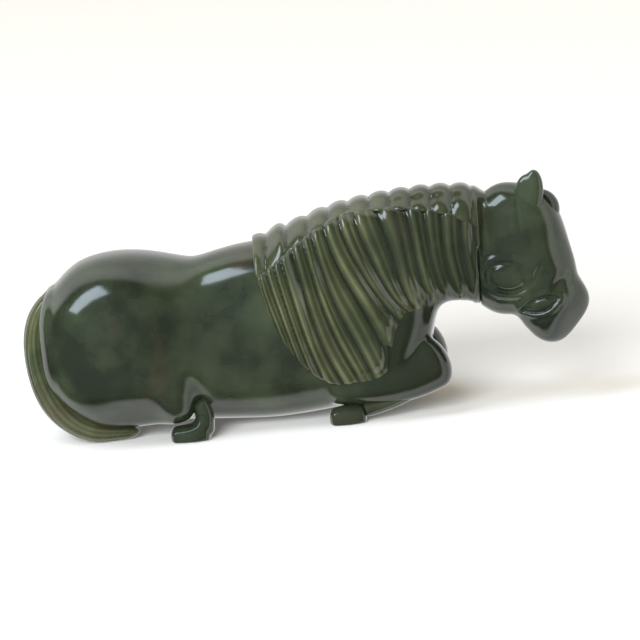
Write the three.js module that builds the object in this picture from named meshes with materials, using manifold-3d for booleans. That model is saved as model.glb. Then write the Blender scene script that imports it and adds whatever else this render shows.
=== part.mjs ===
// A horse lying down, carved from one piece of green jade. Millimetres.
// +X points to the head, -Y is the horse's right side, +Z is up, and the ground is z = 0.
// The origin is on the ground, under the middle of the figure.
//
// The carving is one stone. It is divided here along its carved lines into named regions, which
// stand a narrow gap apart, so that each region is a closed solid of its own.

import * as THREE from "three";
import { mergeVertices } from "three/addons/utils/BufferGeometryUtils.js";
import Module from "manifold-3d";

const wasm = await Module();
wasm.setup();

// Driving dimensions.
const LENGTH = 163.5; // tail to muzzle
const REAR = -LENGTH / 2; // the outermost point of the tail
const GAP = 0.3; // between neighbouring regions
const MANE_RELIEF = 1.6; // how far a side of the mane stands off the neck and shoulder
const CREST_LOCKS = 12; // scallops along the top of the mane
const CREST_WAVE = 0.55; // how far a scallop rises over the line of the crest and falls under it
const HOOF_SPREAD = 15; // from the mid-plane to the middle of a fore hoof
const HIND_SPREAD = 19; // from the mid-plane to the middle of a hind hoof
const HEAD_TURN = -4; // how far the muzzle swings to the horse's right
const EAR_SPREAD = 6; // from the mid-plane to the root of an ear

// Mesh fineness.
const AROUND = 16; // corners in a section
const ROWS = 2; // rows of corners from one section to the next
const CAP_ROWS = 2; // rows that round off each end

// Colours of the polished stone: the body, the lighter hair, and the hooves.
const JADE = 0x24391f;
const HAIR = 0x46592f;
const HORN = 0x2c4024;
const POLISH = 0.18;

// The joined corners of a three.js geometry, as a solid for joining and cutting.
function solidOf(geometry) {
  const bare = geometry.clone();
  bare.deleteAttribute("normal");
  bare.deleteAttribute("uv");
  const merged = mergeVertices(bare, 1e-4);
  return new wasm.Manifold(
    new wasm.Mesh({
      numProp: 3,
      vertProperties: Float32Array.from(merged.attributes.position.array),
      triVerts: Uint32Array.from(merged.index.array),
    }),
  );
}

// A solid as a three.js geometry again.
function geometryOf(solid) {
  const mesh = solid.getMesh();
  const geometry = new THREE.BufferGeometry();
  geometry.setAttribute("position", new THREE.BufferAttribute(mesh.vertProperties, 3));
  geometry.setIndex(new THREE.BufferAttribute(mesh.triVerts, 1));
  geometry.computeVertexNormals();
  return geometry;
}

// A smooth line through one value of each section.
function track(values) {
  const curve = new THREE.CatmullRomCurve3(values.map((v) => new THREE.Vector3(v, 0, 0)));
  return (t) => curve.getPoint(t).x;
}

// A sphere drawn out along a centre line. Each section is [x, y, z, half width, half height].
// The width is measured across the figure, and the height square to it and to the line.
// round is how far the two ends bulge past the first and last section, and grow thickens it all over.
function limb(sections, { round = [2, 2], grow = 0, power = 2, rowsEach = ROWS } = {}) {
  const line = new THREE.CatmullRomCurve3(sections.map(([x, y, z]) => new THREE.Vector3(x, y, z)));
  const width = track(sections.map((s) => s[3]));
  const height = track(sections.map((s) => s[4]));
  const body = rowsEach * (sections.length - 1);
  const rows = body + 2 * CAP_ROWS;
  const ball = new THREE.SphereGeometry(1, AROUND, rows);
  const corner = ball.attributes.position;
  const across = new THREE.Vector3();
  const up = new THREE.Vector3();
  for (let i = 0; i < corner.count; i++) {
    const row = Math.floor(i / (AROUND + 1));
    const angle = (-2 * Math.PI * (i % (AROUND + 1))) / AROUND;
    const t = THREE.MathUtils.clamp((row - CAP_ROWS) / body, 0, 1);
    const past = row < CAP_ROWS ? row - CAP_ROWS : Math.max(0, row - CAP_ROWS - body);
    const turn = (past / CAP_ROWS) * (Math.PI / 2);
    const bulge = past < 0 ? round[0] : round[1];
    const tangent = line.getTangent(t);
    across.set(0, 1, 0).addScaledVector(tangent, -tangent.y).normalize();
    up.crossVectors(tangent, across);
    const a = (width(t) + grow) * Math.cos(turn);
    const b = (height(t) + grow) * Math.cos(turn);
    const place = line.getPoint(t).addScaledVector(tangent, (bulge + grow) * Math.sin(turn));
    place.addScaledVector(across, a * flatten(Math.cos(angle), power));
    place.addScaledVector(up, b * flatten(Math.sin(angle), power));
    corner.setXYZ(i, place.x, place.y, place.z);
  }
  return solidOf(ball);
}

// A cosine or sine bent so that a section of a higher power is fuller at its corners.
function flatten(value, power) {
  return Math.sign(value) * Math.abs(value) ** (2 / power);
}

// An egg with its half sizes, tipped about the Y axis and then about the X axis.
function egg([x, y, z], [a, b, c], { tip = 0, lean = 0, grow = 0 } = {}) {
  const ball = new THREE.SphereGeometry(1, AROUND, 10);
  ball.rotateX(Math.PI / 2);
  ball.scale(a + grow, b + grow, c + grow);
  ball.rotateY(tip);
  ball.rotateX(lean);
  ball.translate(x, y, z);
  return solidOf(ball);
}

// The sections of a limb, given by their distance from the mid-plane, on one side of the figure.
function onSide(side, sections) {
  return sections.map(([x, y, z, a, b]) => [x, side * y, z, a, b]);
}

const ROOM = 400;
const aboveGround = new THREE.BoxGeometry(ROOM, ROOM, ROOM);
aboveGround.translate(0, 0, ROOM / 2);
const ABOVE = solidOf(aboveGround);

// Forms of the body. Each is a function of how much it is grown.

const torso = (grow) =>
  limb(
    [
      [-72, 0, 28, 14, 15],
      [-64, 0, 28, 19, 21.4],
      [-52, 0, 28, 21.5, 24.2],
      [-40, 0, 26.6, 21, 23.8],
      [-30, 0, 25.6, 20.5, 23.6],
      [-18, 0, 26.2, 20.8, 25.2],
      [-6, 0, 26.6, 21.3, 25.6],
      [6, 0, 26, 21.3, 24.2],
      [18, 0, 24.8, 20, 21.5],
      [28, 0, 23.5, 16.5, 18],
      [33, 0, 22.5, 12.5, 14],
    ],
    { round: [4, 4], power: 2.3, grow },
  );

const thigh = (side) => (grow) =>
  limb(
    onSide(side, [
      [-70, 11, 22.5, 8.5, 12],
      [-62, 13, 24, 11.5, 18],
      [-53, 14, 25, 12.2, 19.3],
      [-45, 14.5, 21, 11, 15.2],
      [-39, 15, 15.5, 9.5, 9.8],
      [-35, 15, 11, 8, 5.4],
    ]),
    { round: [4, 2], power: 2.4, grow },
  );

const neck = (grow) =>
  limb(
    [
      [0, 0, 41, 15, 13],
      [10, 0, 43, 15, 15.5],
      [20, 0, 44.5, 14.5, 16],
      [30, 0, 45.5, 13.5, 15.6],
      [40, 0, 46, 12.6, 15.2],
      [50, 0, 45.6, 12, 15.6],
    ],
    { round: [3, 3], power: 2.2, grow },
  );

const head = (grow) =>
  limb(
    [
      [61.5, 0, 57.5, 8.5, 9],
      [63, 0, 52, 11, 12.5],
      [64.5, 0.1 * HEAD_TURN, 43.5, 12, 13.4],
      [67.5, 0.4 * HEAD_TURN, 36, 11.5, 12.4],
      [70.4, 0.7 * HEAD_TURN, 30.4, 10.2, 10.6],
      [73, HEAD_TURN, 26.4, 9.2, 9.4],
      [74.6, HEAD_TURN, 22.4, 7.6, 7.8],
    ],
    { round: [3.6, 4.6], power: 2.1, grow },
  ).add(egg([58.5, 0.2 * HEAD_TURN, 37], [10, 11.4, 12.2], { grow }));

const forearm = (side) => (grow) =>
  limb(
    onSide(side, [
      [8, 12, 14, 7, 9],
      [18, 13, 12.5, 7.5, 8.5],
      [28, 12.5, 12.6, 7.2, 8],
      [35, 12, 15.2, 6.4, 8.4],
    ]),
    { round: [3, 5.2], grow },
  );

const foreCannon = (side) => (grow) =>
  limb(
    onSide(side, [
      [28, HOOF_SPREAD - 2, 7.4, 3.4, 2.8],
      [22, HOOF_SPREAD - 1, 5.2, 3.2, 2.6],
      [15.5, HOOF_SPREAD - 0.3, 3.6, 3.2, 2.4],
    ]),
    { round: [2.5, 1], grow },
  );

const foreHoof = (side) => (grow) =>
  limb(
    onSide(side, [
      [14, HOOF_SPREAD, 2, 3.4, 3],
      [10.5, HOOF_SPREAD, 1.6, 4.2, 3.6],
      [6.5, HOOF_SPREAD, 1.4, 4, 3.2],
    ]),
    { round: [1.2, 2], power: 2.4, grow },
  );

const hindHoof = (side) => (grow) =>
  limb(
    onSide(side, [
      [-39.5, HIND_SPREAD, 2.4, 4.6, 4],
      [-35, HIND_SPREAD, 2.2, 5, 4.6],
      [-31, HIND_SPREAD, 2.6, 4.4, 4],
    ]),
    { round: [1.8, 1.8], power: 2.4, grow },
  );

const tail = (grow) =>
  limb(
    [
      [REAR + 7.6, 0, 42, 3.4, 1.8],
      [REAR + 4.4, -0.6, 36.4, 4.4, 2.8],
      [REAR + 3.4, -1.8, 29, 5, 3.4],
      [REAR + 4.2, -4, 20.6, 5.6, 3.8],
      [REAR + 7, -7, 12.6, 5.8, 4],
      [REAR + 12.2, -9.5, 6.6, 5.6, 3.8],
      [REAR + 19.2, -11, 3, 5, 3.3],
      [REAR + 26.2, -11.5, 2.1, 3.8, 2.5],
    ],
    { round: [2, 3.6], grow },
  );

// The top of the mane, a low roof with a scallop at each lock.
const crest = (grow) => {
  const ridge = new THREE.CatmullRomCurve3(
    [
      [-10, 49.9],
      [4, 54.6],
      [16, 57.9],
      [28, 59.9],
      [42, 60.4],
      [56, 58.9],
    ].map(([x, z]) => new THREE.Vector3(x, 0, z)),
  );
  const sections = [];
  for (let i = 0; i <= 2 * CREST_LOCKS; i++) {
    const along = i / (2 * CREST_LOCKS);
    const { x, z } = ridge.getPoint(along);
    const wave = CREST_WAVE * (i % 2 === 0 ? -1 : 1);
    sections.push([x, 0, z + wave, 7.2 - 1.6 * along, 3.4]);
  }
  return limb(sections, { rowsEach: 1, grow });
};

// The side of the mane that hangs over the neck and shoulder: an outline pushed through the figure,
// of which only a layer over the neck and the torso is kept.
const maneSide = (side) => (grow) => {
  const outline = new THREE.Shape();
  outline.moveTo(-12, 50);
  outline.splineThru([
    new THREE.Vector2(-10.5, 40),
    new THREE.Vector2(-5, 28),
    new THREE.Vector2(5, 15.5),
    new THREE.Vector2(15, 14.5),
  ]);
  outline.splineThru([
    new THREE.Vector2(23, 27),
    new THREE.Vector2(36, 36),
    new THREE.Vector2(48, 32),
  ]);
  outline.lineTo(50.5, 62);
  outline.splineThru([
    new THREE.Vector2(30, 64),
    new THREE.Vector2(8, 60),
    new THREE.Vector2(-12, 50),
  ]);
  const reach = 30;
  const slab = new THREE.ExtrudeGeometry(outline, { depth: reach, bevelEnabled: false, curveSegments: 6 });
  slab.rotateX(Math.PI / 2);
  slab.translate(0, side > 0 ? reach + 2 : -2, 0);
  const thick = MANE_RELIEF + GAP + grow;
  return solidOf(slab).intersect(neck(thick).add(torso(thick)));
};

const ear = (side) => (grow) => {
  const drop = side > 0 ? 3.6 : 0; // the head is tipped, so the left ear is the lower one
  const place = [67.2, side * EAR_SPREAD, 60.8 - drop];
  return egg(place, [4, 2.6, 6.6], { tip: 0.16, lean: -0.12 * side, grow });
};

const forelock = (grow) => egg([70.6, -1, 55], [5.2, 4.6, 5.6], { tip: -0.5, grow });

// The regions in the order of carving: each keeps clear of those before it.
const REGIONS = [
  ["torso", torso, JADE],
  ["neck", neck, JADE],
  ["head", head, JADE],
  ["haunch_right", thigh(-1), JADE],
  ["haunch_left", thigh(1), JADE],
  ["foreleg_right", forearm(-1), JADE],
  ["foreleg_left", forearm(1), JADE],
  ["fore_cannon_right", foreCannon(-1), JADE],
  ["fore_cannon_left", foreCannon(1), JADE],
  ["fore_hoof_right", foreHoof(-1), HORN],
  ["fore_hoof_left", foreHoof(1), HORN],
  ["hind_hoof_right", hindHoof(-1), HORN],
  ["hind_hoof_left", hindHoof(1), HORN],
  ["tail", tail, HAIR],
  ["ear_right", ear(-1), JADE],
  ["ear_left", ear(1), JADE],
  ["mane_crest", crest, HAIR],
  ["forelock", forelock, HAIR],
  ["mane_right", maneSide(-1), HAIR],
  ["mane_left", maneSide(1), HAIR],
];

// The largest body of a cut, without the crumbs.
function largest(solid) {
  return solid.decompose().sort((a, b) => b.volume() - a.volume())[0];
}

const figure = new THREE.Group();
const grownSoFar = [];
for (const [name, form, colour] of REGIONS) {
  let solid = form(0).intersect(ABOVE);
  for (const earlier of grownSoFar) solid = solid.subtract(earlier);
  grownSoFar.push(form(GAP));
  const material = new THREE.MeshStandardMaterial({ color: colour, roughness: POLISH, metalness: 0 });
  const mesh = new THREE.Mesh(geometryOf(largest(solid)), material);
  mesh.name = name;
  figure.add(mesh);
}

export default figure;
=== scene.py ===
"""A horse lying down, carved from one piece of green jade, on a pale floor.

The forms are signed distances in millimetres, in the frame of the CAD model: +X points to the head,
-Y is the horse's right side and +Z is up. Each piece is meshed from its distance field, so that the
carved grooves, locks and folds are real geometry.
"""

import math

import bpy
import numpy as np
import openvdb
from mathutils import Matrix, Vector


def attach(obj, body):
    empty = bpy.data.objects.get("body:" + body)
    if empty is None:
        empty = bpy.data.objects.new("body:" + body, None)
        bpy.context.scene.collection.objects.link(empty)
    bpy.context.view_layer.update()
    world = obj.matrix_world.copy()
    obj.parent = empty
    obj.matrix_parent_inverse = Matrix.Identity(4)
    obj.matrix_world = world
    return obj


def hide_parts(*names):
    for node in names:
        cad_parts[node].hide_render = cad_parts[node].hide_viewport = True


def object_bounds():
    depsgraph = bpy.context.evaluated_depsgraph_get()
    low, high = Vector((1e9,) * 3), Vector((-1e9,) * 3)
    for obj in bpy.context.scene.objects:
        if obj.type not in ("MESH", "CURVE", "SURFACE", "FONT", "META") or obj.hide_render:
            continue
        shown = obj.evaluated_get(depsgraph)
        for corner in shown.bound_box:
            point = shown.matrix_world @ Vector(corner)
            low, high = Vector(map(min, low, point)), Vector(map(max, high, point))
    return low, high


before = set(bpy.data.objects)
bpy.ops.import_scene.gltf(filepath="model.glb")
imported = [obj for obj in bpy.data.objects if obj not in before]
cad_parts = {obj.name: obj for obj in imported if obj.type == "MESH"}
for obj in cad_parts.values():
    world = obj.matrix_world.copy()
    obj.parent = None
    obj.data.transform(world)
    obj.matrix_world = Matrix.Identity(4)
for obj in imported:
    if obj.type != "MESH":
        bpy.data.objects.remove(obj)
CAD_LOW, CAD_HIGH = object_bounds()

MM = 0.001
REAR = CAD_LOW.x / MM  # the outermost point of the tail
HEAD_TURN = -4.0  # how far the muzzle swings to the horse's right
RIGHT, LEFT = -1, 1
SIDES = ((RIGHT, "right"), (LEFT, "left"))
FAR = 30.0  # a distance that stands for "nowhere near"
NEAR = 12.0  # a form is only worked out this close to its box
TINY = 1e-3
LEAST_SLOPE = 0.02  # keeps a distance finite at the middle of a form


# ---------------------------------------------------------------- curves

class Track:
    """A natural cubic spline through evenly numbered rows of values."""

    def __init__(self, rows):
        self.rows = np.array(rows, float)
        count = len(self.rows)
        matrix = np.eye(count)
        pull = np.zeros_like(self.rows)
        for i in range(1, count - 1):
            matrix[i, i - 1 : i + 2] = (1, 4, 1)
            pull[i] = 6 * (self.rows[i + 1] - 2 * self.rows[i] + self.rows[i - 1])
        self.bend = np.linalg.solve(matrix, pull)
        self.last = count - 1

    def _cell(self, t):
        t = np.clip(t, 0, self.last)
        i = np.minimum(t.astype(int), self.last - 1)
        return i, (t - i)[..., None]

    def at(self, t):
        i, u = self._cell(np.asarray(t, float))
        v = 1 - u
        curve = (v**3 - v) * self.bend[i] / 6 + (u**3 - u) * self.bend[i + 1] / 6
        return v * self.rows[i] + u * self.rows[i + 1] + curve

    def slope(self, t):
        i, u = self._cell(np.asarray(t, float))
        v = 1 - u
        curve = (1 - 3 * v**2) * self.bend[i] / 6 + (3 * u**2 - 1) * self.bend[i + 1] / 6
        return self.rows[i + 1] - self.rows[i] + curve


def smooth(edge0, edge1, value):
    """0 before edge0, 1 after edge1, and an easy slope between them."""
    t = np.clip((value - edge0) / (edge1 - edge0), 0, 1)
    return t * t * (3 - 2 * t)


def bump(value, width):
    """A rounded hill of height 1 at zero, gone at about twice the width."""
    return np.exp(-((value / width) ** 2))


def join(a, b, soft):
    """The union of two forms, with a rounded valley between them."""
    h = np.maximum(soft - np.abs(a - b), 0) / soft
    return np.minimum(a, b) - h**3 * soft / 6


def keep(a, b, soft):
    """What two forms have in common, with a rounded edge."""
    return -join(-a, -b, soft)


def off_segment(x, z, start, end):
    """How far along a straight piece of line (0 to 1) each point lies, and the square of its distance."""
    run = end - start
    u = np.clip(((x - start[0]) * run[0] + (z - start[1]) * run[1]) / (run @ run + 1e-9), 0, 1)
    return u, (x - start[0] - u * run[0]) ** 2 + (z - start[1] - u * run[1]) ** 2


class Chart:
    """A value worked out once over the side view, and read between its points."""

    def __init__(self, start, stop, step, value):
        self.start, self.step = start, step
        counts = [int(math.ceil((b - a) / step)) + 1 for a, b in zip(start, stop)]
        x, z = np.meshgrid(*[a + step * np.arange(n) for a, n in zip(start, counts)], indexing="ij")
        self.values = value(x.ravel(), z.ravel()).reshape(counts)

    def read(self, x, z):
        i = np.clip((x - self.start[0]) / self.step, 0, self.values.shape[0] - 1.001)
        j = np.clip((z - self.start[1]) / self.step, 0, self.values.shape[1] - 1.001)
        i0, j0 = i.astype(int), j.astype(int)
        fi, fj = i - i0, j - j0
        low = self.values[i0, j0] * (1 - fi) + self.values[i0 + 1, j0] * fi
        high = self.values[i0, j0 + 1] * (1 - fi) + self.values[i0 + 1, j0 + 1] * fi
        return low * (1 - fj) + high * fj


# ---------------------------------------------------------------- forms

class Limb:
    """A form drawn out along a centre line. A section is [x, y, z, half width, half height].

    The ends are how far the two caps reach past the first and last sections.
    """

    STEPS = 8  # straight pieces of the searched line for each section
    CHART_STEP = 1.0

    def __init__(self, sections, ends=(2, 2), power=2.0):
        self.track = Track(sections)
        self.ends = ends
        self.power = power
        steps = np.linspace(0, self.track.last, self.track.last * self.STEPS + 1)
        self.line = self.track.at(steps)[:, [0, 2]]
        reach = self.track.rows[:, 3:].max() + max(ends)
        self.low = self.track.rows[:, :3].min(0) - reach
        self.high = self.track.rows[:, :3].max(0) + reach
        start, stop = self.low[[0, 2]] - NEAR, self.high[[0, 2]] + NEAR
        self.chart = Chart(start, stop, self.CHART_STEP, self.search)

    def search(self, x, z):
        """The place on the centre line nearest to each point, seen from the side."""
        best = np.full(x.shape, np.inf)
        place = np.zeros(x.shape)
        for i, (start, end) in enumerate(zip(self.line[:-1], self.line[1:])):
            u, gap = off_segment(x, z, start, end)
            closer = gap < best
            best = np.where(closer, gap, best)
            place = np.where(closer, i + u, place)
        return place / self.STEPS

    def locate(self, p):
        """Place along the line, its section, and the offsets along, across and up from it."""
        t = self.chart.read(p[:, 0], p[:, 2])
        cautious = 0.8  # the part of each full step that is taken
        for _ in range(2):
            row, slope = self.track.at(t), self.track.slope(t)
            dx, dz = p[:, 0] - row[:, 0], p[:, 2] - row[:, 2]
            size = slope[:, 0] ** 2 + slope[:, 2] ** 2
            t = np.clip(t + (dx * slope[:, 0] + dz * slope[:, 2]) / size * cautious, 0, self.track.last)
        row, slope = self.track.at(t), self.track.slope(t)
        length = np.sqrt(slope[:, 0] ** 2 + slope[:, 2] ** 2)
        tx, tz = slope[:, 0] / length, slope[:, 2] / length
        dx, dz = p[:, 0] - row[:, 0], p[:, 2] - row[:, 2]
        return t, row, dx * tx + dz * tz, p[:, 1] - row[:, 1], dz * tx - dx * tz

    def field(self, p):
        inside = np.all((p > self.low - NEAR) & (p < self.high + NEAR), axis=1)
        out = np.full(len(p), FAR)
        if inside.any():
            out[inside] = self._distance(p[inside])
        return out

    def _distance(self, p):
        t, row, along, across, up = self.locate(p)
        n = self.power
        a = np.abs(across) / row[:, 3]
        b = np.abs(up) / row[:, 4]
        q = np.maximum((a**n + b**n) ** (1 / n), TINY)
        steep = q ** (1 - n) * np.hypot(a ** (n - 1) / row[:, 3], b ** (n - 1) / row[:, 4])
        half = self.track.last / 2
        end = np.where(t < half, self.ends[0], self.ends[1])
        beyond_end = (t <= 0) | (t >= self.track.last)
        past = np.where(beyond_end, np.abs(along), 0) / end
        whole = np.hypot(q, past)
        slope = np.hypot(q * steep, past / end) / whole
        return (whole - 1) / np.maximum(slope, LEAST_SLOPE)


class Egg:
    """An egg with its half sizes, tipped about Y. A higher power makes it fuller at its corners."""

    def __init__(self, centre, half, tip=0.0, power=2.0):
        self.centre = np.array(centre, float)
        self.half = np.array(half, float)
        self.tip = tip
        self.power = power

    def local(self, p):
        d = p - self.centre
        c, s = math.cos(self.tip), math.sin(self.tip)
        return np.stack([c * d[:, 0] - s * d[:, 2], d[:, 1], s * d[:, 0] + c * d[:, 2]], axis=1)

    def field(self, p):
        d = np.abs(self.local(p)) / self.half
        n = self.power
        q = np.maximum((d**n).sum(1) ** (1 / n), TINY)
        slope = q ** (1 - n) * np.linalg.norm(d ** (n - 1) / self.half, axis=1)
        return (q - 1) / np.maximum(slope, LEAST_SLOPE)


def on_side(side, sections):
    return [[x, side * y, z, a, b] for x, y, z, a, b in sections]


TORSO = Limb(
    [
        [-72, 0, 28, 14, 15],
        [-64, 0, 28, 19, 21.4],
        [-52, 0, 28, 21.5, 24.2],
        [-40, 0, 26.6, 21, 23.8],
        [-30, 0, 25.6, 20.5, 23.6],
        [-18, 0, 26.2, 20.8, 25.2],
        [-6, 0, 26.6, 21.3, 25.6],
        [6, 0, 26, 21.3, 24.2],
        [18, 0, 24.8, 20, 21.5],
        [28, 0, 23.5, 16.5, 18],
        [33, 0, 22.5, 12.5, 14],
    ],
    ends=(4, 4),
    power=2.3,
)
NECK = Limb(
    [
        [0, 0, 41, 15, 13],
        [10, 0, 43, 15, 15.5],
        [20, 0, 44.5, 14.5, 16],
        [30, 0, 45.5, 13.5, 15.6],
        [40, 0, 46, 12.6, 15.2],
        [50, 0, 45.6, 12, 15.6],
    ],
    ends=(3, 3),
    power=3.0,
)
HEAD = Limb(
    [
        [61.5, 0, 57.5, 8.5, 9],
        [63, 0, 52, 11, 12.5],
        [64.5, 0.1 * HEAD_TURN, 43.5, 12, 13.4],
        [67.5, 0.4 * HEAD_TURN, 36, 11.5, 12.4],
        [70.4, 0.7 * HEAD_TURN, 30.4, 10.2, 10.6],
        [73, HEAD_TURN, 26.4, 9.2, 9.4],
        [74.6, HEAD_TURN, 22.4, 7.6, 7.8],
    ],
    ends=(3.6, 4.6),
    power=2.1,
)
JOWL = Egg([58.5, 0.2 * HEAD_TURN, 37], [10, 11.4, 12.2])
POLL = Egg([60.4, 0, 55], [8, 8.5, 8])
MUZZLE = Egg([72.2, HEAD_TURN, 26], [9.8, 9.4, 10])
TAIL = Limb(
    [
        [REAR + 13, 0, 45.4, 2.4, 0.7],
        [REAR + 8, -0.2, 40.8, 3.6, 1.9],
        [REAR + 4.6, -0.8, 35.6, 4.4, 2.8],
        [REAR + 3.4, -1.8, 29, 5, 3.4],
        [REAR + 4.2, -4, 20.6, 5.6, 3.8],
        [REAR + 7, -7, 12.6, 5.8, 4],
        [REAR + 12.2, -9.5, 6.6, 5.6, 3.8],
        [REAR + 19.2, -11, 3, 5, 3.3],
        [REAR + 26.2, -11.5, 2.1, 3.4, 2.2],
    ],
    ends=(1.5, 5.4),
)
CREST = Limb(
    [
        [-10, 0, 49.9, 7.2, 3.4],
        [4, 0, 54.6, 6.9, 3.4],
        [16, 0, 57.9, 6.6, 3.4],
        [28, 0, 59.9, 6.3, 3.4],
        [42, 0, 60.4, 6, 3.4],
        [56, 0, 58.9, 5.6, 3.4],
    ],
    ends=(2, 2),
    power=2.6,
)


class Haunch:
    """The round of the haunch and the folded leg in front of it, over a slanting underside."""

    TIP = math.radians(42)  # how far the underside is tipped from upright
    UNDERSIDE = 9.3  # its distance from the middle of the ground
    OVER_HOOF = 3.5  # how much fuller it is over the hoof
    FOLD_JOIN = 9.0
    UNDERSIDE_EDGE = 6.0

    def __init__(self, side):
        self.side = side
        self.round = Egg([-55.5, 12.6 * side, 25.4], [19.5, 13.6, 19.8], power=2.2)
        self.fold = Egg([-48, 12.6 * side, 12.6], [14.8, 13.2, 8.6], power=4)

    def field(self, p):
        leg = join(self.round.field(p), self.fold.field(p), self.FOLD_JOIN)
        slant = math.cos(self.TIP) * self.side * p[:, 1] - math.sin(self.TIP) * p[:, 2]
        fuller = self.OVER_HOOF * smooth(-46, -38, p[:, 0])
        return keep(leg, slant - self.UNDERSIDE - fuller, self.UNDERSIDE_EDGE)


def forearm(side):
    sections = [
        [8, 12, 14, 7, 9],
        [18, 13, 12.5, 7.5, 8.5],
        [28, 12.5, 12.6, 7.2, 8],
        [35, 12, 15.2, 6.4, 8.4],
    ]
    return Limb(on_side(side, sections), ends=(3, 5.2))


def fore_cannon(side):
    sections = [
        [28, 13, 7.4, 3.4, 2.8],
        [22, 14, 5.2, 3.2, 2.6],
        [15.5, 14.7, 3.6, 3.2, 2.4],
    ]
    return Limb(on_side(side, sections), ends=(2.5, 1))


def fore_hoof(side):
    sections = [
        [14, 15, 2, 3.4, 3],
        [10.5, 15, 1.6, 4.2, 3.6],
        [6.5, 15, 1.4, 4, 3.2],
    ]
    return Limb(on_side(side, sections), ends=(1.2, 2), power=2.4)


class Hoof:
    """A hind hoof and the pastern that comes down to it."""

    PASTERN_JOIN = 1.5

    def __init__(self, side):
        sole = [[-39.4, 19, 1.5, 4.4, 2.7], [-35, 19, 1.6, 5, 3.2], [-31.6, 19, 2.2, 4.4, 3.6]]
        shank = [[-31.6, 19, 3, 3.8, 3.2], [-31, 18.6, 6.6, 3.4, 2.7], [-32, 18, 10, 3, 2.6]]
        self.forms = [
            Limb(on_side(side, sole), ends=(1.8, 1.8), power=2.4),
            Limb(on_side(side, shank), ends=(1.5, 1.5), power=2.2),
        ]
        self.low = np.minimum(*[form.low for form in self.forms])
        self.high = np.maximum(*[form.high for form in self.forms])

    def field(self, p):
        sole, shank = (form.field(p) for form in self.forms)
        return join(sole, shank, self.PASTERN_JOIN)


def shoulder(side):
    sections = [
        [27.4, 8, 36, 7, 8],
        [25.8, 10.4, 29, 8, 9.8],
        [23.2, 11.8, 22, 8.4, 9.8],
        [21, 12.4, 16, 8, 9.4],
        [19, 12.5, 11, 7, 8],
    ]
    return Limb(on_side(side, sections), ends=(3, 3))


SHOULDERS = [shoulder(side) for side in (RIGHT, LEFT)]
HAUNCHES = [Haunch(side) for side in (RIGHT, LEFT)]
FOREARMS = [forearm(side) for side in (RIGHT, LEFT)]


# How softly each form runs into the one before it.
NECK_JOIN = 9.0
SHOULDER_JOIN = 5.0
FOREARM_JOIN = 1.0
SKULL_JOIN = 4.0
HEAD_JOIN = 5.0


def body(p):
    """The stone without its hair, hooves and ears."""
    d = TORSO.field(p)
    haunch_crease = 3 + 7 * smooth(6, 16, p[:, 2]) + 8 * smooth(26, 42, p[:, 2])  # sharper lower down
    for haunch in HAUNCHES:
        d = join(d, haunch.field(p), haunch_crease)
    d = join(d, NECK.field(p), NECK_JOIN)
    for form in SHOULDERS:
        d = join(d, form.field(p), SHOULDER_JOIN)
    for leg in FOREARMS:
        d = join(d, leg.field(p), FOREARM_JOIN)
    skull = HEAD.field(p)
    for form in (JOWL, POLL, MUZZLE):
        skull = join(skull, form.field(p), SKULL_JOIN)
    return join(d, skull, HEAD_JOIN)


# ---------------------------------------------------------------- meshes

def samples(low, high, voxel):
    counts = np.ceil((np.array(high, float) - low) / voxel).astype(int) + 1
    axes = [low[k] + voxel * np.arange(counts[k]) for k in range(3)]
    return axes, counts


def points_of(axes):
    grid = np.meshgrid(*axes, indexing="ij")
    return np.stack([g.ravel() for g in grid], axis=1)


def stretched(values, counts, axes_from, axes_to):
    """Values on a coarse grid, read between its points on a finer one."""
    out = values.reshape(counts)
    for k in range(3):
        place = (axes_to[k] - axes_from[k][0]) / (axes_from[k][1] - axes_from[k][0])
        i = np.clip(place.astype(int), 0, counts[k] - 2)
        shape = [1, 1, 1]
        shape[k] = -1
        u = (place - i).reshape(shape)
        out = np.take(out, i, axis=k) * (1 - u) + np.take(out, i + 1, axis=k) * u
    return out


COARSE = 4  # coarse steps are this many voxels
BAND = 1.6  # the field is worked out afresh within this many coarse steps of the surface


def surface(field, low, high, voxel):
    """The zero surface of a field: points in millimetres, and faces of four corners."""
    low = np.array(low, float)
    wide, wide_counts = samples(low, np.array(high) + COARSE * voxel, COARSE * voxel)
    rough = field(points_of(wide))
    axes, counts = samples(low, high, voxel)
    values = stretched(rough, wide_counts, wide, axes)
    near = np.abs(values) < BAND * COARSE * voxel
    spots = np.argwhere(near)
    exact = np.stack([axes[k][spots[:, k]] for k in range(3)], axis=1)
    values[near] = field(exact)
    grid = openvdb.FloatGrid(FAR)
    grid.copyFromArray(np.ascontiguousarray(values, dtype=np.float32))
    grid.gridClass = openvdb.GridClass.LEVEL_SET
    points, quads = grid.convertToQuads(0.0)
    return points.astype(float) * voxel + low, quads


def relax(points, quads, passes):
    """Evens the points out among their neighbours, so that polished faces reflect cleanly."""
    ends = np.concatenate([quads[:, [k, (k + 1) % 4]] for k in range(4)])
    here, there = np.concatenate([ends, ends[:, ::-1]]).T
    count = np.bincount(here, minlength=len(points))
    for _ in range(passes):
        total = [np.bincount(here, points[there, axis], len(points)) for axis in range(3)]
        middle = np.stack(total, axis=1) / np.maximum(count, 1)[:, None]
        points = (points + middle) / 2
    return points


PAINTED_LIGHT_ATTRIBUTE = "painted_light"  # the mesh attribute of painted light and shade: it darkens the stone as painted shade in the cuts of the hair and around the chest, and leaves pale painted highlight lines on the locks


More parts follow.
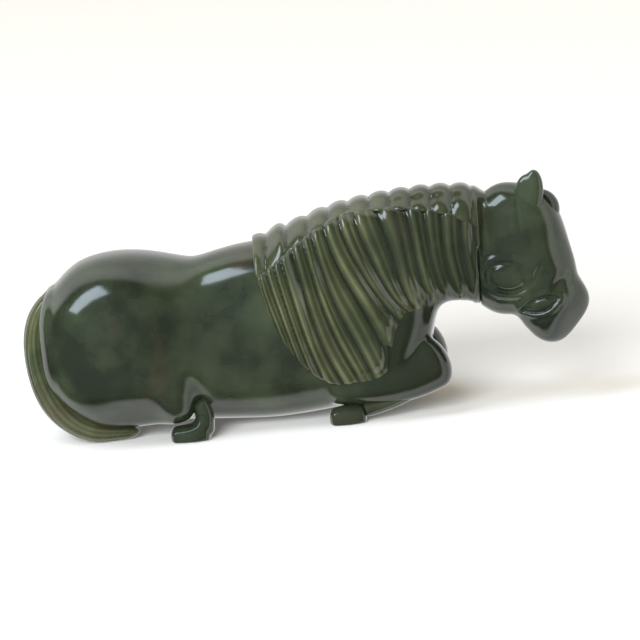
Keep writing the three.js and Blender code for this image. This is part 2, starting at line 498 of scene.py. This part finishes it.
def piece(name, slot, field, low, high, voxel, nodes, material, painted_light=None, passes=2):
    """Meshes a field as a piece that rides on the one rigid body.

    The painted light and shade is 1 where the stone keeps its own colour and 0 where painted shade darkens
    it.
    """
    points, quads = surface(field, low, high, voxel)
    points = relax(points, quads, passes)
    mesh = bpy.data.meshes.new(name)
    mesh.vertices.add(len(points))
    mesh.vertices.foreach_set("co", (points * MM).astype(np.float32).ravel())
    mesh.loops.add(4 * len(quads))
    mesh.loops.foreach_set("vertex_index", quads.astype(np.int32).ravel())
    mesh.polygons.add(len(quads))
    mesh.polygons.foreach_set("loop_start", np.arange(0, 4 * len(quads), 4, dtype=np.int32))
    mesh.update(calc_edges=True)
    mesh.validate()
    mesh.polygons.foreach_set("use_smooth", np.ones(len(mesh.polygons), bool))
    if painted_light:
        layer = mesh.attributes.new(PAINTED_LIGHT_ATTRIBUTE, "FLOAT", "POINT")
        layer.data.foreach_set("value", painted_light(points).astype(np.float32))
    mesh.materials.append(material)
    obj = bpy.data.objects.new(name, mesh)
    bpy.context.scene.collection.objects.link(obj)
    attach(obj, "root")
    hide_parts(*nodes)
    return obj


# ---------------------------------------------------------------- mane

# Each guide is where a lock leaves the crest, a place it bends toward, and where it ends: x, z, x, z, x, z.
GUIDES = Track(
    [
        [-12.8, 45.2, -11.2, 35, -8.6, 25.6],
        [-10.9, 46.8, -8.2, 33, -4.2, 21.4],
        [-7.4, 48.9, -4.4, 31, 1.4, 15.6],
        [-3.4, 51.4, 1, 30, 8.4, 12.4],
        [1.8, 55, 6.4, 34, 14.2, 15],
        [7.6, 57.7, 11.4, 42, 19.6, 26],
        [14.4, 59.2, 18, 40, 27.6, 31.8],
        [24.6, 59.6, 28, 42, 32.6, 31.6],
        [34.6, 58.8, 36.4, 44, 39.6, 31.4],
        [43.6, 56.6, 43.8, 42, 46, 29.6],
        [50.6, 53, 50.2, 42, 50.8, 28.6],
    ]
)
LOCKS = 16
MANE_LOW, MANE_HIGH = (-20.0, 5.0), (60.0, 70.0)  # the part of the side view that holds the mane
MANE_STEP = 0.5
LEAST_CELL = 50.0  # keeps the search steady where the guides crowd together, in square millimetres


def guide_point(u, w):
    row = GUIDES.at(u * GUIDES.last)
    start, middle, end = (1 - w) ** 2, 2 * w * (1 - w), w**2
    x = row[..., 0] * start + row[..., 2] * middle + row[..., 4] * end
    z = row[..., 1] * start + row[..., 3] * middle + row[..., 5] * end
    return x, z


def beyond(u, w):
    """A guide point, carried on in a straight line past the first and the last guide."""
    inner = np.clip(u, 0, 1)
    before, after = np.clip(inner - 0.01, 0, 1), np.clip(inner + 0.01, 0, 1)
    x, z = guide_point(inner, w)
    x0, z0 = guide_point(before, w)
    x1, z1 = guide_point(after, w)
    past = (u - inner) / (after - before)
    return x + past * (x1 - x0), z + past * (z1 - z0)


def mane_place(x, z):
    """For each place on the side of the mane: which lock it is on (0 to 1), and how far down it."""
    guesses = np.meshgrid(np.linspace(-0.05, 1.05, 60), np.linspace(-0.3, 1.3, 40))
    us, ws = (guess.ravel() for guess in guesses)
    gx, gz = beyond(us, ws)
    nearest = np.argmin((x[:, None] - gx) ** 2 + (z[:, None] - gz) ** 2, axis=1)
    u, w = us[nearest], ws[nearest]
    for _ in range(6):
        px, pz = beyond(u, w)
        ux, uz = beyond(u + TINY, w)
        wx, wz = beyond(u, w + TINY)
        a, b = (ux - px) / TINY, (wx - px) / TINY
        c, d = (uz - pz) / TINY, (wz - pz) / TINY
        det = a * d - b * c
        det = np.where(np.abs(det) < LEAST_CELL, np.sign(det + 1e-9) * LEAST_CELL, det)
        ex, ez = x - px, z - pz
        u = np.clip(u + (d * ex - b * ez) / det, -0.2, 1.2)
        w = np.clip(w + (a * ez - c * ex) / det, -0.5, 1.5)
    return u, w


def mane_chart(value):
    return Chart(MANE_LOW, MANE_HIGH, MANE_STEP, value)


LOCK_U = mane_chart(lambda x, z: mane_place(x, z)[0])  # from the hindmost lock to the foremost
LOCK_W = mane_chart(lambda x, z: mane_place(x, z)[1])  # from the crest to the tip of the lock


def lock_place(p):
    """Which lock a point is on, how far across it (0 to 1) and how far down it."""
    u = LOCK_U.read(p[:, 0], p[:, 2])
    w = LOCK_W.read(p[:, 0], p[:, 2])
    phase = LOCKS * u + 0.1 * np.sin(5 * w + 14 * u) + 0.12 * np.sin(31 * u)
    number = np.floor(phase)
    return number, phase - number, w


def lock_height(p):
    """0 in the cuts between locks and 1 on their backs, which lie near the cut behind."""
    number, f, w = lock_place(p)
    rise = smooth(0, 0.32, f)
    fall = 1 - 0.85 * (np.clip(f - 0.26, 0, 1) / 0.74) ** 1.5
    split = 0.56 + 0.1 * np.sin(2.3 * number)  # where the finer cuts lie, which differs from lock to lock
    fine = 0.16 * bump(f - split, 0.07) + 0.1 * bump(f - split - 0.22, 0.06)
    return np.clip(rise * fall - fine * smooth(-0.02, 0.12, w), 0, 1)


def paler_behind(p, loss):
    """The hair's painted light and shade loses this part of its paleness toward the head."""
    return 1 - loss * smooth(14, 50, p[:, 0])


def lock_painted_light(p):
    """Painted highlight: a pale line on the back of each lock and a fainter one near its finer cuts, over
    painted shade that is darkest in the cuts between the locks.
    """
    number, f, w = lock_place(p)
    painted_highlight = bump(f - 0.3, 0.13) * (0.75 + 0.25 * np.sin(3.1 * number + 4 * w))
    second = 0.45 * bump(f - 0.72 - 0.05 * np.sin(1.7 * number), 0.06)
    cut = 0.2 * smooth(0, 0.12, np.minimum(f, 1 - f))
    return np.clip((cut + 0.7 * painted_highlight + second) * paler_behind(p, 0.5), 0, 1)


def mane_rise(p):
    """How far the backs of the locks stand off the neck and shoulder."""
    u = LOCK_U.read(p[:, 0], p[:, 2])
    w = LOCK_W.read(p[:, 0], p[:, 2])
    edge = MANE_EDGE.read(p[:, 0], p[:, 2])
    curtain = 1.8 - 0.8 * smooth(0.45, 0.7, u) + 0.6 * smooth(0.4, 0.1, w)  # thickest at the shoulder's top
    merging = smooth(9, 16, p[:, 0]) * smooth(50, 46, p[:, 0]) * smooth(0.4, 0.6, w)  # at the chest
    last_fold = 1 - 0.5 * smooth(46, 51, p[:, 0])
    return curtain * last_fold * (1 - merging * smooth(5, 0, -edge))


def polygon_distance(x, z, corners):
    """Signed distance to a closed outline in the side view, negative inside."""
    best = np.full(x.shape, np.inf)
    inside = np.zeros(x.shape, bool)
    for start, end in zip(corners, np.roll(corners, -1, axis=0)):
        best = np.minimum(best, off_segment(x, z, start, end)[1])
        crosses = (start[1] > z) != (end[1] > z)
        if crosses.any():
            crossing = start[0] + (z - start[1]) * (end[0] - start[0]) / (end[1] - start[1])
            inside ^= crosses & (x < crossing)
    return np.where(inside, -1, 1) * np.sqrt(best)


OUTLINE_STEPS = 10  # straight pieces of an outline for each of its points


def outline_of(*runs):
    """A closed outline from runs of smooth points."""
    parts = []
    for run in runs:
        track = Track(run)
        parts.append(track.at(np.linspace(0, track.last, OUTLINE_STEPS * track.last + 1)))
    return np.concatenate(parts)


HAIRLINE = [
    [-12.8, 45.2], [-7.4, 48.9], [1.8, 55], [7.6, 57.7], [14.4, 59.2],
    [24.6, 59.6], [34.6, 58.8], [43.6, 56.6], [51.2, 52.6],
]
MANE_OUTLINE = outline_of(
    [
        [-12.8, 45.2], [-11.6, 39.6], [-9.4, 32.4], [-6.6, 26.2],
        [-3.6, 21.4], [1.6, 15.4], [7, 12.2], [12.4, 12.2],
    ],
    [[12.4, 12.2], [18.6, 12.8], [23.6, 16.4], [25.6, 24], [29, 30]],
    [[29, 30], [34, 30.4], [39, 30.4], [45.6, 28.4], [51.2, 27.6]],
    [[51.2, 27.6], [51.4, 40], [51.2, 52.6]],
    HAIRLINE[::-1],
)
CREST_OUTLINE = outline_of(
    HAIRLINE,
    [[51.2, 52.6], [56, 52], [60, 54]],
    [[60, 54], [61, 68]],
    [[61, 68], [30, 72]],
    [[30, 72], [-13, 64]],
    [[-13, 64], [-13.4, 52], [-12.8, 45.2]],
)
MANE_EDGE = mane_chart(lambda x, z: polygon_distance(x, z, MANE_OUTLINE))
CREST_EDGE = mane_chart(lambda x, z: polygon_distance(x, z, CREST_OUTLINE))
CUT_DEPTH = 1.15
LEAST_RISE = 0.15  # what is left of the hair at the bottom of a cut
HAIR_ROOT = 3.0  # how far the hair goes into the stone under it
MANE_ROUND, CREST_ROUND = 1.6, 0.9  # the rounding of their edges
MANE_GAP, CREST_GAP = 0.15, 0.1  # how far inside their outlines they stay
UNDER_CREST = 1.2  # how far the mane goes under the crest along the neck
UNDER_MANE = 1.6  # how far the crest goes under the mane behind that
MIDDLE_GAP = 1.0  # the two sides of the mane stop this far from the middle plane


def mane_side(side):
    def field(p):
        base = body(p)
        rise = mane_rise(p)
        carved = np.maximum(rise - CUT_DEPTH * (1 - lock_height(p)), LEAST_RISE)
        skin = base - carved * np.minimum(rise, 1)
        edge = MANE_EDGE.read(p[:, 0], p[:, 2])
        under_crest = smooth(4, 16, p[:, 0]) * smooth(44, 50, p[:, 2])
        inset = edge + MANE_GAP - UNDER_CREST * under_crest
        shell = keep(skin, inset, MANE_ROUND * (1 - 0.5 * under_crest))
        shell = np.maximum(shell, -(base + HAIR_ROOT))
        return np.maximum(shell, MIDDLE_GAP - side * p[:, 1])

    return field


CREST_PITCH = 5.9
CREST_START = -11.5  # the middle of the hindmost scallop
CREST_WAVE = 1.2
CREST_RISE = 1.5  # over the neck
CREST_SWELL = 0.55  # over the crest's own form
CREST_SINK = 3.4  # how far its front end goes down into the poll
CREST_JOIN = 3.0


def scallop(p):
    """1 on the backs of the scallops of the crest and 0 in the cuts between them."""
    lean = 0.12 * (60 - p[:, 2])
    phase = (p[:, 0] + lean - CREST_START) / CREST_PITCH
    return np.abs(np.cos(np.pi * phase)) ** 0.6


def crest_field(p):
    base = body(p)
    back = join(base - CREST_RISE, CREST.field(p) - CREST_SWELL, CREST_JOIN)
    fading = smooth(48, 56, p[:, 0])
    skin = back + CREST_WAVE * (1 - scallop(p)) * (1 - fading) + CREST_SINK * smooth(49, 58, p[:, 0])
    under_mane = smooth(14, 4, p[:, 0]) * smooth(-13.5, -11, p[:, 0])
    inset = CREST_EDGE.read(p[:, 0], p[:, 2]) + CREST_GAP - UNDER_MANE * under_mane
    shell = keep(skin, inset, CREST_ROUND)
    return np.maximum(shell, -(base + HAIR_ROOT))


def crest_painted_light(p):
    # Painted shade: dark in the cuts between the scallops of the crest and lighter on their backs.
    return (0.25 + 0.3 * scallop(p)) * paler_behind(p, 0.4)


# ---------------------------------------------------------------- chisel marks

STROKE_STEPS = 8  # straight pieces of a stroke for each place in its run


def stroke(x, z, run, width, height):
    """A raised line along a smooth run of places in the side view, or a cut where height is negative."""
    track = Track(run)
    line = track.at(np.linspace(0, track.last, STROKE_STEPS * track.last + 1))
    best = np.full(x.shape, np.inf)
    for start, end in zip(line[:-1], line[1:]):
        best = np.minimum(best, off_segment(x, z, start, end)[1])
    return height * bump(np.sqrt(best), width)


def turned(x, z, centre, angle):
    """Offsets from a centre along and square to a direction in the side view."""
    c, s = math.cos(angle), math.sin(angle)
    dx, dz = x - centre[0], z - centre[1]
    return c * dx + s * dz, c * dz - s * dx


def eye_marks(x, z):
    """A round eye in a cut, with a raised rim."""
    along, up = turned(x, z, (58.7, 37.6), -0.25)
    ring = np.hypot(along / 5.4, up / 4.1)
    off = (ring - 1) * 4.6
    return 0.5 * np.clip(1 - ring**2, 0, 1) - 0.55 * bump(off, 0.8) + 0.4 * bump(off - 1.6, 1.1)


def nostril_marks(x, z):
    """A leaf with a raised rim, and a seed in it."""
    along, up = turned(x, z, (67.6, 29), 0.32)
    leaf = np.abs(up) - 1.9 * (1 - (along / 5.4) ** 2)
    leaf = np.where(np.abs(along) > 5.4, np.hypot(np.abs(along) - 5.4, up), leaf)
    return 0.35 * smooth(0, -1.2, leaf) - 0.75 * bump(leaf, 0.4) + 0.45 * bump(leaf - 1.2, 0.7)


# Each stroke is a run of places, its width, and its height.
HEAD_STROKES = [
    ([[61, 40.8], [63.2, 38.8], [64.8, 36.2]], 0.5, 0.5),  # the ridge in front of the eye
    ([[56, 33.8], [60.8, 33], [65.3, 35.4], [66.8, 38], [68.4, 40.4]], 0.6, -0.65),  # under and around it
    ([[65.2, 31], [66.8, 32.6], [68.8, 33.4]], 0.45, -0.45),  # over the nostril
    ([[56.2, 30.9], [58.4, 30.6], [60.5, 30.5]], 0.4, -0.35),  # along the jaw
    ([[63.3, 59], [63.1, 54.5], [63.7, 49.9]], 0.5, -0.4),  # down from the ear
    ([[75.4, 36.6], [73.2, 35], [71.8, 33]], 1.4, -0.6),  # the hollow over the muzzle
]
CHEST_STROKES = [
    ([[16.5, 35], [18.6, 31], [19.4, 27], [19.3, 18.3]], 0.55, 0.7),
    ([[18.5, 36], [21, 31.5], [22.2, 26], [22.2, 20], [21, 15.9]], 0.55, 0.7),
    ([[17.6, 35], [19.9, 31], [20.8, 26], [20.7, 18]], 0.6, -0.5),
    ([[12, 11.5], [17, 13.2], [22, 14.2]], 1.3, -0.8),  # the hollow over the forearm
]


def marks(x, z):
    total = eye_marks(x, z) + nostril_marks(x, z)
    for run, width, height in HEAD_STROKES + CHEST_STROKES:
        total = total + stroke(x, z, run, width, height)
    return total


MARKS_LOW, MARKS_HIGH = (4, 5), (86, 66)
MARKS_STEP = 0.25
MARKS = Chart(MARKS_LOW, MARKS_HIGH, MARKS_STEP, marks)


def chiselled(d, p):
    """A body distance with the marks cut in on both flanks."""
    middle = HEAD_TURN * smooth(62, 74, p[:, 0])
    flank = smooth(1.5, 4, np.abs(p[:, 1] - middle))
    inside = (p[:, 0] > MARKS_LOW[0] + 1) & (p[:, 0] < MARKS_HIGH[0] - 1) & (p[:, 2] < MARKS_HIGH[1] - 1)
    close = inside & (np.abs(d) < 3)
    out = d.copy()
    out[close] -= (MARKS.read(p[:, 0], p[:, 2]) * flank)[close]
    return out


BRIDGE = np.array([71.3, -10.4, 43.5])  # a point on the edge between the side and the front of the face
BRIDGE_FACING = np.array([0.7, -0.68, -0.21])


def face_plane(p, side):
    """The flat of the face on one side of its bridge."""
    middle = 0.25 * HEAD_TURN
    q = p - BRIDGE
    q[:, 1] = np.where(side == RIGHT, p[:, 1], 2 * middle - p[:, 1]) - BRIDGE[1]
    flat = q @ BRIDGE_FACING + 0.4
    fading_down = 10 * smooth(50, 24, p[:, 2])
    fading_up = 4 * smooth(50, 60, p[:, 2])
    return flat - fading_down - fading_up


# ---------------------------------------------------------------- materials

def node_material(name):
    material = bpy.data.materials.new(name)
    material.use_nodes = True
    nodes = material.node_tree.nodes
    return material, nodes, material.node_tree.links, nodes["Principled BSDF"]


MIX_FACTOR, MIX_A, MIX_B, MIX_COLOUR = 0, 6, 7, 2  # the sockets of a Mix node that mixes colours


def noise(nodes, links, place, **settings):
    """A noise over the stone, in metres."""
    texture = nodes.new("ShaderNodeTexNoise")
    for socket, value in settings.items():
        texture.inputs[socket].default_value = value
    links.new(place.outputs["Object"], texture.inputs["Vector"])
    return texture.outputs["Fac"]


def two_tone(nodes, links, factor, deep, light):
    """The stone's clouds, from its deep green to its light one."""
    ramp = nodes.new("ShaderNodeValToRGB")
    for stop, position, colour in zip(ramp.color_ramp.elements, (0.38, 0.68), (deep, light)):
        stop.position = position
        stop.color = (*colour, 1)
    links.new(factor, ramp.inputs["Fac"])
    return ramp.outputs["Color"]


def stained(nodes, links, veins, green, brown):
    """Brown stains where the veins are thick."""
    patch = nodes.new("ShaderNodeMapRange")
    patch.inputs["From Min"].default_value = 0.56
    patch.inputs["From Max"].default_value = 0.72
    patch.inputs["To Max"].default_value = 0.75
    links.new(veins, patch.inputs["Value"])
    stain = nodes.new("ShaderNodeMix")
    stain.data_type = "RGBA"
    links.new(patch.outputs["Result"], stain.inputs[MIX_FACTOR])
    links.new(green, stain.inputs[MIX_A])
    stain.inputs[MIX_B].default_value = (*brown, 1)
    return stain.outputs[MIX_COLOUR]


# The dark colour of painted shade, in the cuts of the hair and around the chest.
PAINTED_SHADE_COLOUR = (0.009, 0.013, 0.007)


def painted_light_mix(nodes, links, colour):
    """The colour of the stone where the mesh's painted light attribute is 1, and dark painted shade where it
    is 0.
    """
    painted_light = nodes.new("ShaderNodeAttribute")
    painted_light.attribute_name = PAINTED_LIGHT_ATTRIBUTE
    mix = nodes.new("ShaderNodeMix")
    mix.data_type = "RGBA"
    links.new(painted_light.outputs["Fac"], mix.inputs[MIX_FACTOR])
    mix.inputs[MIX_A].default_value = (*PAINTED_SHADE_COLOUR, 1)
    links.new(colour, mix.inputs[MIX_B])
    return mix.outputs[MIX_COLOUR]


def jade(name, deep, light, brown, has_painted_light=False):
    """Polished stone: two greens in soft clouds, brown stains, a clear gloss and a faint ripple."""
    material, nodes, links, shader = node_material(name)
    place = nodes.new("ShaderNodeTexCoord")
    clouds = noise(nodes, links, place, Scale=55, Detail=5, Roughness=0.55)
    veins = noise(nodes, links, place, Scale=38, Detail=3, Distortion=0.6)
    waves = noise(nodes, links, place, Scale=160, Detail=2)
    colour = stained(nodes, links, veins, two_tone(nodes, links, clouds, deep, light), brown)
    # Painted shade and highlight, read from the mesh's attribute, darken the stone in its cuts and hollows.
    if has_painted_light:
        colour = painted_light_mix(nodes, links, colour)
    links.new(colour, shader.inputs["Base Color"])
    shader.inputs["Roughness"].default_value = 0.14
    shader.inputs["IOR"].default_value = 1.68
    shader.inputs["Subsurface Weight"].default_value = 0.15
    shader.inputs["Subsurface Radius"].default_value = (0.6, 1.0, 0.5)
    shader.inputs["Subsurface Scale"].default_value = 1.5 * MM
    ripple = nodes.new("ShaderNodeBump")
    ripple.inputs["Strength"].default_value = 0.05
    ripple.inputs["Distance"].default_value = 1.0 * MM
    links.new(waves, ripple.inputs["Height"])
    links.new(ripple.outputs["Normal"], shader.inputs["Normal"])
    return material


# Deep green, light green and brown.
BODY_TONES = (0.011, 0.016, 0.0095), (0.037, 0.049, 0.026), (0.04, 0.029, 0.018)
MANE_TONES = (0.055, 0.066, 0.032), (0.14, 0.15, 0.072), (0.07, 0.045, 0.032)
HOOF_TONES = (0.012, 0.018, 0.011), (0.032, 0.045, 0.023), (0.03, 0.025, 0.018)
TRUNK_JADE = jade("jade_trunk", *BODY_TONES, has_painted_light=True)
BODY_JADE = jade("jade_body", *BODY_TONES)
MANE_JADE = jade("jade_mane", *MANE_TONES, has_painted_light=True)
HOOF_JADE = jade("jade_hoof", *HOOF_TONES)


# ---------------------------------------------------------------- the carving

SPLIT_X = 51.0  # the last cut of the neck, behind the jowl
BELLY_Z = 0.2  # the trunk stops this far over the ground
MUZZLE_FACING = np.array([0.58, -0.66, -0.48])
MUZZLE_FLAT = 6.9  # from the middle of the muzzle to its flats


def muzzle_plane(p, side):
    """The muzzle is flattened a little toward its front on each side."""
    q = p - MUZZLE.centre
    q[:, 1] *= -side
    return q @ MUZZLE_FACING - MUZZLE_FLAT


def trunk_field(p):
    d = chiselled(body(p), p)
    d = np.maximum(d, p[:, 0] - SPLIT_X)
    return keep(d, BELLY_Z - p[:, 2], 1)


def chest_painted_shade(p):
    """Painted shade: 1 in the plain stone and lower around the chest and the forelegs, darkening the hollow
    there.
    """
    return 1 - 0.8 * smooth(6, 18, p[:, 0]) * smooth(38, 28, p[:, 2])


def head_field(p):
    d = body(p)
    for side in (RIGHT, LEFT):
        d = keep(d, face_plane(p, side), 2)
        d = keep(d, muzzle_plane(p, side), 4)
    return np.maximum(chiselled(d, p), SPLIT_X - p[:, 0])


TAIL_LOCKS = 7  # to each half of the tail's round
TAIL_CUT = 0.35
GROUND_EDGE = 0.6  # the rounding where a piece meets the ground


def tail_strand(p):
    """0 in the cuts along the tail and 1 on the backs of its strands."""
    t, row, along, across, up = TAIL.locate(p)
    turn = np.arctan2(across / row[:, 3], up / row[:, 4]) / np.pi
    f = (TAIL_LOCKS * turn + 0.12 * np.sin(2.2 * t)) % 1
    return 1 - np.abs(2 * f - 1) ** 2.5


def tail_field(p):
    smooth_tail = TAIL.field(p)
    grain = np.zeros(len(p))
    near = np.abs(smooth_tail) < 4
    grain[near] = TAIL_CUT * (1 - tail_strand(p[near]))
    return keep(smooth_tail + grain, -p[:, 2], GROUND_EDGE)


def tail_painted_shade(p):
    # Painted shade: darker in the cuts along the tail than on the backs of its strands.
    return 0.3 + 0.45 * tail_strand(p)


def ear_field(side):
    """Two lobes with a furrow between them."""
    drop = 0 if side == RIGHT else 3.6
    front = Egg([68.2, 6 * side, 60.4 - drop], [3, 2.8, 6.8], tip=0.1)
    back = Egg([65.6, 5.6 * side, 60 - drop], [2.9, 2.4, 5.8], tip=0.15)
    return lambda p: join(front.field(p), back.field(p), 2)


FORELOCK = Egg([70.6, -1, 55], [5.2, 4.6, 5.6], tip=-0.5)


def grounded(form):
    return lambda p: keep(form.field(p), -p[:, 2], GROUND_EDGE)


def limb_box(form, margin=2.5):
    return form.low - margin, form.high + margin


TRUNK_NODES = ["torso", "neck", "haunch_right", "haunch_left", "foreleg_right", "foreleg_left"]
LIMB_ENDS = (
    ("fore_cannon", fore_cannon, "jade_body", BODY_JADE),
    ("fore_hoof", fore_hoof, "jade_hoof", HOOF_JADE),
    ("hind_hoof", Hoof, "jade_hoof", HOOF_JADE),
)


def carve():
    """Meshes every piece. The numbers are the two corners of its box, and its voxel."""
    piece(
        "trunk", "jade_body", trunk_field, (-80, -30, -1), (53, 30, 64), 0.6, TRUNK_NODES, TRUNK_JADE,
        chest_painted_shade, passes=6,
    )
    piece("head", "jade_body", head_field, (49, -18, 12), (88, 16, 70), 0.4, ["head"], BODY_JADE)
    for side, word in SIDES:
        low = (-16, -28 if side == RIGHT else 0, 9)
        high = (57, 0 if side == RIGHT else 28, 67)
        name = f"mane_{word}"
        piece(name, "jade_mane", mane_side(side), low, high, 0.34, [name], MANE_JADE, lock_painted_light, passes=4)
    piece(
        "mane_crest", "jade_mane", crest_field, (-16, -22, 42), (62, 22, 69), 0.4, ["mane_crest"], MANE_JADE,
        crest_painted_light,
    )
    piece("tail", "jade_mane", tail_field, *limb_box(TAIL), 0.4, ["tail"], MANE_JADE, tail_painted_shade)
    piece("forelock", "jade_mane", FORELOCK.field, (62, -8, 46), (80, 6, 64), 0.35, ["forelock"], MANE_JADE)
    for side, word in SIDES:
        low, high = (60, 6 * side - 5, 48), (74, 6 * side + 5, 69)
        piece(f"ear_{word}", "jade_body", ear_field(side), low, high, 0.3, [f"ear_{word}"], BODY_JADE)
        for part, make, slot, look in LIMB_ENDS:
            form = make(side)
            name = f"{part}_{word}"
            piece(name, slot, grounded(form), *limb_box(form), 0.35, [name], look)


# ---------------------------------------------------------------- floor, light and camera

FLOOR_SIZE = 6.0


def floor():
    """A pale floor with a faint glow of its own, as overexposed paper has."""
    bpy.ops.mesh.primitive_plane_add(size=FLOOR_SIZE)
    plane = bpy.context.object
    plane.name = "floor"
    material, nodes, links, shader = node_material("paper")
    shader.inputs["Base Color"].default_value = (0.86, 0.85, 0.84, 1)
    shader.inputs["Roughness"].default_value = 1
    shader.inputs["Specular IOR Level"].default_value = 0
    shader.inputs["Emission Color"].default_value = (1, 0.985, 0.98, 1)
    shader.inputs["Emission Strength"].default_value = 0.07
    plane.data.materials.append(material)
    plane.visible_glossy = False


DOME = 0.44  # the even light of the room on everything that isn't a reflection
DOME_COLOUR = (1, 0.86, 0.64)
ROOM = 1.4  # the strength of what the polish reflects
BRIGHT_SIDE = (0.42, 0.88, -0.22)  # the room's tones follow each direction's closeness to this one
ROOM_TONES = (  # place from the far side (0) to the bright side (1), and colour
    (0.0, (0.15, 0.16, 0.16)),
    (1.0, (0.82, 0.82, 0.82)),
    (0.3, (0.12, 0.125, 0.11)),
    (0.4, (0.03, 0.014, 0.014)),
    (0.455, (0.05, 0.025, 0.022)),
    (0.52, (0.75, 0.76, 0.74)),
    (0.62, (0.75, 0.76, 0.74)),
    (0.72, (0.5, 0.51, 0.49)),
    (0.82, (0.55, 0.56, 0.54)),
)


def background(nodes, colour, strength):
    node = nodes.new("ShaderNodeBackground")
    node.inputs["Color"].default_value = (*colour, 1)
    node.inputs["Strength"].default_value = strength
    return node


def blended(nodes, links, factor, first, second):
    mix = nodes.new("ShaderNodeMixShader")
    links.new(factor, mix.inputs["Fac"])
    links.new(first.outputs[0], mix.inputs[1])
    links.new(second.outputs[0], mix.inputs[2])
    return mix


def sky():
    """A room that is bright behind the figure, dim on the near side and white where it is seen itself."""
    world = bpy.data.worlds.new("room")
    bpy.context.scene.world = world
    world.use_nodes = True
    nodes, links = world.node_tree.nodes, world.node_tree.links
    nodes.clear()
    out = nodes.new("ShaderNodeOutputWorld")
    place = nodes.new("ShaderNodeTexCoord")
    toward = nodes.new("ShaderNodeVectorMath")
    toward.operation = "DOT_PRODUCT"
    toward.inputs[1].default_value = BRIGHT_SIDE
    links.new(place.outputs["Generated"], toward.inputs[0])
    half = nodes.new("ShaderNodeMapRange")
    half.inputs["From Min"].default_value = -1
    half.inputs["From Max"].default_value = 1
    links.new(toward.outputs["Value"], half.inputs["Value"])
    ramp = nodes.new("ShaderNodeValToRGB")
    stops = ramp.color_ramp.elements
    for i, (position, colour) in enumerate(ROOM_TONES):
        stop = stops[i] if i < 2 else stops.new(position)
        stop.position = position
        stop.color = (*colour, 1)
    links.new(half.outputs["Result"], ramp.inputs["Fac"])
    room = background(nodes, (1, 1, 1), ROOM)
    links.new(ramp.outputs["Color"], room.inputs["Color"])
    dome = background(nodes, DOME_COLOUR, DOME)
    paper = background(nodes, (1, 1, 1), 1)
    path = nodes.new("ShaderNodeLightPath")
    light = blended(nodes, links, path.outputs["Is Glossy Ray"], dome, room)
    seen = blended(nodes, links, path.outputs["Is Camera Ray"], light, paper)
    links.new(seen.outputs["Shader"], out.inputs["Surface"])


def window(direction, distance, width, height, power):
    """A window of the room, as an area light that faces the figure."""
    light = bpy.data.lights.new("window", "AREA")
    light.shape = "RECTANGLE"
    light.size = width
    light.size_y = height
    light.energy = power
    light.color = (0.75, 0.87, 1)
    obj = bpy.data.objects.new("window", light)
    bpy.context.scene.collection.objects.link(obj)
    direction = Vector(direction).normalized()
    obj.location = direction * distance
    obj.rotation_euler = direction.to_track_quat("Z", "Y").to_euler()


def daylight(direction, strength, spread):
    """Broad soft light that casts the shadow and isn't seen in the polish. The spread is in degrees."""
    light = bpy.data.lights.new("daylight", "SUN")
    light.energy = strength
    light.angle = math.radians(spread)
    light.color = (0.92, 0.97, 1)
    obj = bpy.data.objects.new("daylight", light)
    bpy.context.scene.collection.objects.link(obj)
    obj.rotation_euler = Vector(direction).to_track_quat("Z", "Y").to_euler()
    obj.visible_glossy = False


TARGET = Vector((4.25, 0, 27.5)) * MM
VIEW_WIDTH = 185.6 * MM  # how much of the target's plane the picture shows
ELEVATION, ROLL = math.radians(12), math.radians(5)
LENS, SENSOR = 200.0, 36.0  # in millimetres of the camera's own


def camera():
    """Looks at the horse's right side from a little above, with the horse tipped nose down."""
    back = Vector((0, -math.cos(ELEVATION), math.sin(ELEVATION)))
    level_up = Vector((0, math.sin(ELEVATION), math.cos(ELEVATION)))
    right = Vector((math.cos(ROLL), 0, 0)) - level_up * math.sin(ROLL)
    up = Vector((math.sin(ROLL), 0, 0)) + level_up * math.cos(ROLL)
    data = bpy.data.cameras.new("camera")
    data.lens = LENS
    data.sensor_width = SENSOR
    data.clip_start = 0.01
    obj = bpy.data.objects.new("camera", data)
    bpy.context.scene.collection.objects.link(obj)
    place = TARGET + back * (VIEW_WIDTH * LENS / SENSOR)
    turn = Matrix((right, up, back)).transposed().to_4x4()
    obj.matrix_world = Matrix.Translation(place) @ turn
    bpy.context.scene.camera = obj


carve()
floor()
sky()
window((-0.5, -0.16, 0.82), distance=1.6, width=0.62, height=1.2, power=14)
daylight((-0.32, -0.84, 0.38), strength=4.4, spread=36)
camera()
bpy.context.scene.view_settings.view_transform = "Standard"
